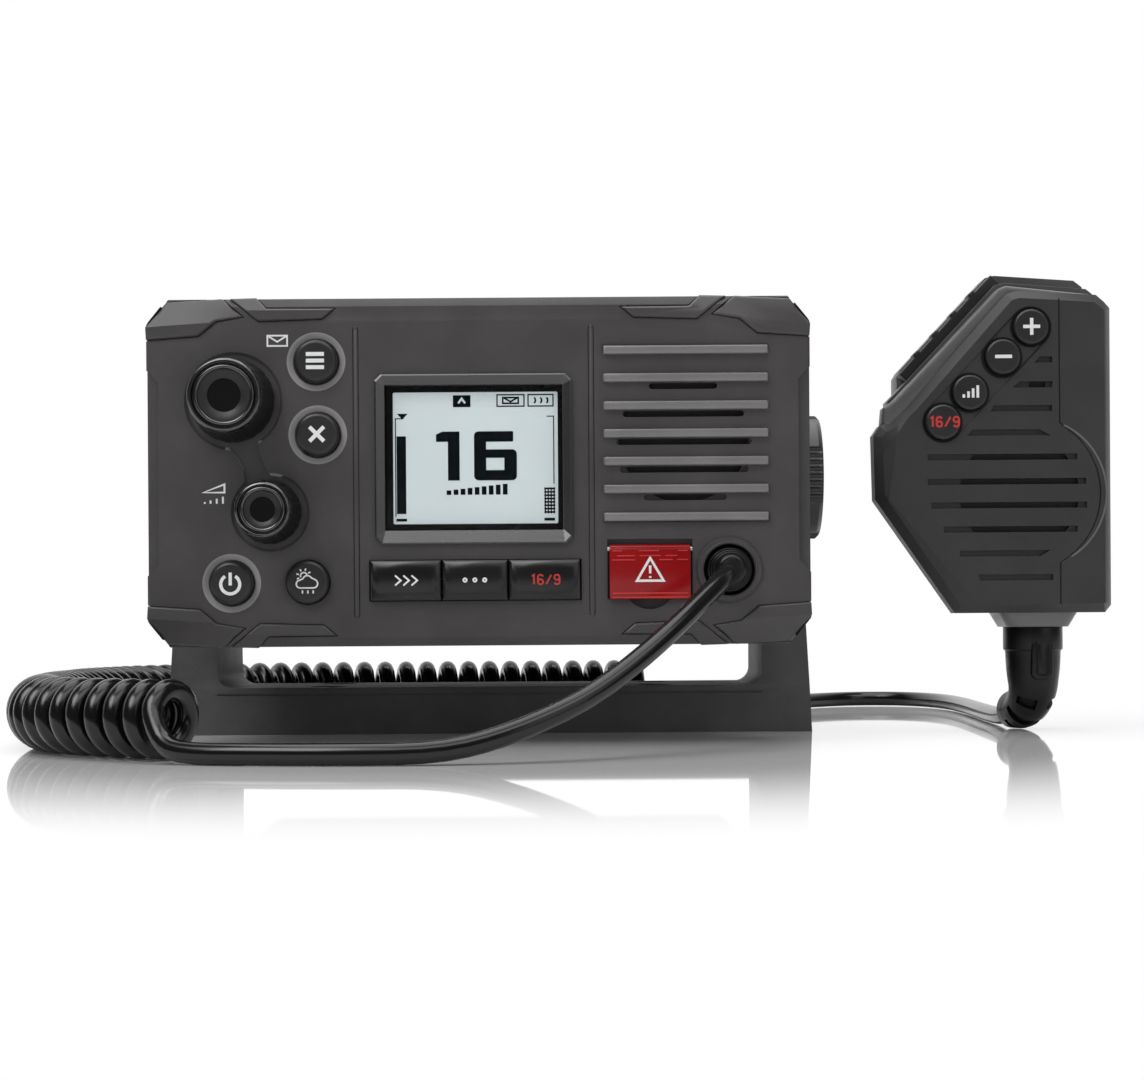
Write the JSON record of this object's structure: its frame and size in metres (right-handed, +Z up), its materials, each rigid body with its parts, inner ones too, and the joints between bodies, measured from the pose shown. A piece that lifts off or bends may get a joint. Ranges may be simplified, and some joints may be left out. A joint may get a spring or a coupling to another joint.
{
  "type": "fixed mount marine radio",
  "caption": "Fixed-mount marine radio in a tilting gimbal bracket, with a curly cord running round it to a fist microphone that stands beside it.",
  "frame": {"origin": "centre of the bracket's base, on the surface it is screwed to", "axes": "+Z up from the mounting surface, -Y out of the radio's face, +X to the right of someone facing it"},
  "size_m": [0.2892, 0.3158, 0.1243],
  "materials": {
    "case_plastic": "fine moulded grain",
    "case_dark": "satin, dark",
    "grille_plastic": "satin, lighter",
    "bracket_plastic": "fine moulded grain",
    "knob_plastic": "polished rings, matt disc",
    "key_rubber": "silicone",
    "flap_red": "translucent red",
    "distress_red": "silicone",
    "screen_frame": "satin",
    "lens": "clear",
    "lcd": "pale display",
    "cord_rubber": "glossy black",
    "mic_plastic": "satin moulded",
    "mic_rubber": "silicone",
    "die_cast": "powder coated",
    "steel": "stainless",
    "brass": "turned",
    "washer_plastic": "nylon",
    "socket_plastic": "moulded",
    "board": "printed circuit",
    "speaker_cone": "paper cone and steel frame"
  },
  "bodies": {
    "bracket": {"gimbal_yoke": "bracket_plastic", "curly_cord": "cord_rubber", "cord_front_lead": "cord_rubber", "cord_rear_lead": "cord_rubber", "mic_strain_relief": "cord_rubber"},
    "radio": {"antenna_socket": "brass", "bracket_inserts": "brass", "case_gasket": "key_rubber", "case_screws": "steel", "channel_encoder": "board", "cord_grommet": "cord_rubber", "corner_caps": "case_plastic", "edge_clips": "case_plastic", "flap_pin": "steel", "friction_washers": "washer_plastic", "front_board": "board", "front_case": "case_plastic", "gland_ring": "case_dark", "key_mat": "key_rubber", "lcd_module": "lcd", "loudspeaker": "speaker_cone", "main_board": "board", "power_socket": "socket_plastic", "rear_chassis": "die_cast", "screen_bezel": "screen_frame", "screen_lens": "lens", "speaker_grille": "grille_plastic", "volume_encoder": "board"},
    "channel_rotor": {"channel_rotor": "board"},
    "channel_dial": {"channel_shaft": "steel", "channel_knob": "knob_plastic"},
    "volume_rotor": {"volume_rotor": "board"},
    "volume_dial": {"volume_shaft": "steel", "volume_knob": "knob_plastic"},
    "menu_key": {"menu_key": "key_rubber"},
    "cancel_key": {"cancel_key": "key_rubber"},
    "power_key": {"power_key": "key_rubber"},
    "weather_key": {"weather_key": "key_rubber"},
    "left_soft_key": {"left_soft_key": "key_rubber"},
    "middle_soft_key": {"middle_soft_key": "key_rubber"},
    "right_soft_key": {"right_soft_key": "key_rubber"},
    "distress_key": {"distress_key": "distress_red"},
    "distress_flap": {"distress_flap": "flap_red"},
    "clamp_left": {"clamp_knob_left": "bracket_plastic"},
    "clamp_right": {"clamp_knob_right": "bracket_plastic"},
    "microphone": {"mic_front_cover": "mic_plastic", "mic_rear_shell": "mic_plastic", "mic_collar": "mic_plastic", "mic_speaker": "speaker_cone", "mic_board": "board", "mic_capsule": "speaker_cone", "mic_hang_stud": "mic_plastic", "mic_screws": "steel"},
    "push_to_talk": {"push_to_talk_bar": "mic_rubber"},
    "mic_plus_key": {"mic_plus_key": "mic_rubber"},
    "mic_minus_key": {"mic_minus_key": "mic_rubber"},
    "mic_scan_key": {"mic_scan_key": "mic_rubber"},
    "mic_channel_key": {"mic_channel_key": "mic_rubber"}
  },
  "joints": [
    {"name": "tilt", "type": "hinge", "parent": "bracket", "child": "radio", "pos_m": [0, 0, 0.0707], "axis": [1, 0, 0], "range_deg": [-12, 12], "deforming": ["cord_front_lead"]},
    {"name": "clamp_left_turn", "type": "hinge", "parent": "radio", "child": "clamp_left", "pos_m": [-0.088, 0, 0.0707], "axis": [-1, 0, 0], "continuous": true},
    {"name": "clamp_right_turn", "type": "hinge", "parent": "radio", "child": "clamp_right", "pos_m": [0.088, 0, 0.0707], "axis": [1, 0, 0], "continuous": true},
    {"name": "channel_turn", "type": "hinge", "parent": "radio", "child": "channel_rotor", "pos_m": [-0.0596, -0.0905, 0.0846], "axis": [0, -1, 0], "continuous": true},
    {"name": "channel_push", "type": "slide", "parent": "channel_rotor", "child": "channel_dial", "axis": [0, 1, 0], "range_m": [0, 0.0008], "stiffness_N_per_m": 900},
    {"name": "volume_turn", "type": "hinge", "parent": "radio", "child": "volume_rotor", "pos_m": [-0.0508, -0.0905, 0.0575], "axis": [0, -1, 0], "continuous": true},
    {"name": "volume_push", "type": "slide", "parent": "volume_rotor", "child": "volume_dial", "axis": [0, 1, 0], "range_m": [0, 0.0008], "stiffness_N_per_m": 900},
    {"name": "menu_press", "type": "slide", "parent": "radio", "child": "menu_key", "axis": [0, 1, 0], "range_m": [0, 0.0008], "stiffness_N_per_m": 500},
    {"name": "cancel_press", "type": "slide", "parent": "radio", "child": "cancel_key", "axis": [0, 1, 0], "range_m": [0, 0.0008], "stiffness_N_per_m": 500},
    {"name": "power_press", "type": "slide", "parent": "radio", "child": "power_key", "axis": [0, 1, 0], "range_m": [0, 0.0008], "stiffness_N_per_m": 500},
    {"name": "weather_press", "type": "slide", "parent": "radio", "child": "weather_key", "axis": [0, 1, 0], "range_m": [0, 0.0008], "stiffness_N_per_m": 500},
    {"name": "left_soft_press", "type": "slide", "parent": "radio", "child": "left_soft_key", "axis": [0, 1, 0], "range_m": [0, 0.0008], "stiffness_N_per_m": 500},
    {"name": "middle_soft_press", "type": "slide", "parent": "radio", "child": "middle_soft_key", "axis": [0, 1, 0], "range_m": [0, 0.0008], "stiffness_N_per_m": 500},
    {"name": "right_soft_press", "type": "slide", "parent": "radio", "child": "right_soft_key", "axis": [0, 1, 0], "range_m": [0, 0.0008], "stiffness_N_per_m": 500},
    {"name": "distress_press", "type": "slide", "parent": "radio", "child": "distress_key", "axis": [0, 1, 0], "range_m": [0, 0.0008], "stiffness_N_per_m": 500},
    {"name": "flap_open", "type": "hinge", "parent": "radio", "child": "distress_flap", "pos_m": [0.04155, -0.0898, 0.048], "axis": [-1, 0, 0], "range_deg": [0, 100], "stiffness_Nm_per_rad": 0.0008},
    {"name": "microphone_swivel", "type": "hinge", "parent": "bracket", "child": "microphone", "pos_m": [0.1481, -0.0245, 0.029], "axis": [0, 0, 1], "range_deg": [-60, 60]},
    {"name": "talk_press", "type": "slide", "parent": "microphone", "child": "push_to_talk", "axis": [0.7318, 0, -0.6815], "range_m": [0, 0.0014], "stiffness_N_per_m": 800},
    {"name": "mic_plus_press", "type": "slide", "parent": "microphone", "child": "mic_plus_key", "axis": [0, 1, 0], "range_m": [0, 0.0007], "stiffness_N_per_m": 500},
    {"name": "mic_minus_press", "type": "slide", "parent": "microphone", "child": "mic_minus_key", "axis": [0, 1, 0], "range_m": [0, 0.0007], "stiffness_N_per_m": 500},
    {"name": "mic_scan_press", "type": "slide", "parent": "microphone", "child": "mic_scan_key", "axis": [0, 1, 0], "range_m": [0, 0.0007], "stiffness_N_per_m": 500},
    {"name": "mic_channel_press", "type": "slide", "parent": "microphone", "child": "mic_channel_key", "axis": [0, 1, 0], "range_m": [0, 0.0007], "stiffness_N_per_m": 500}
  ]
}
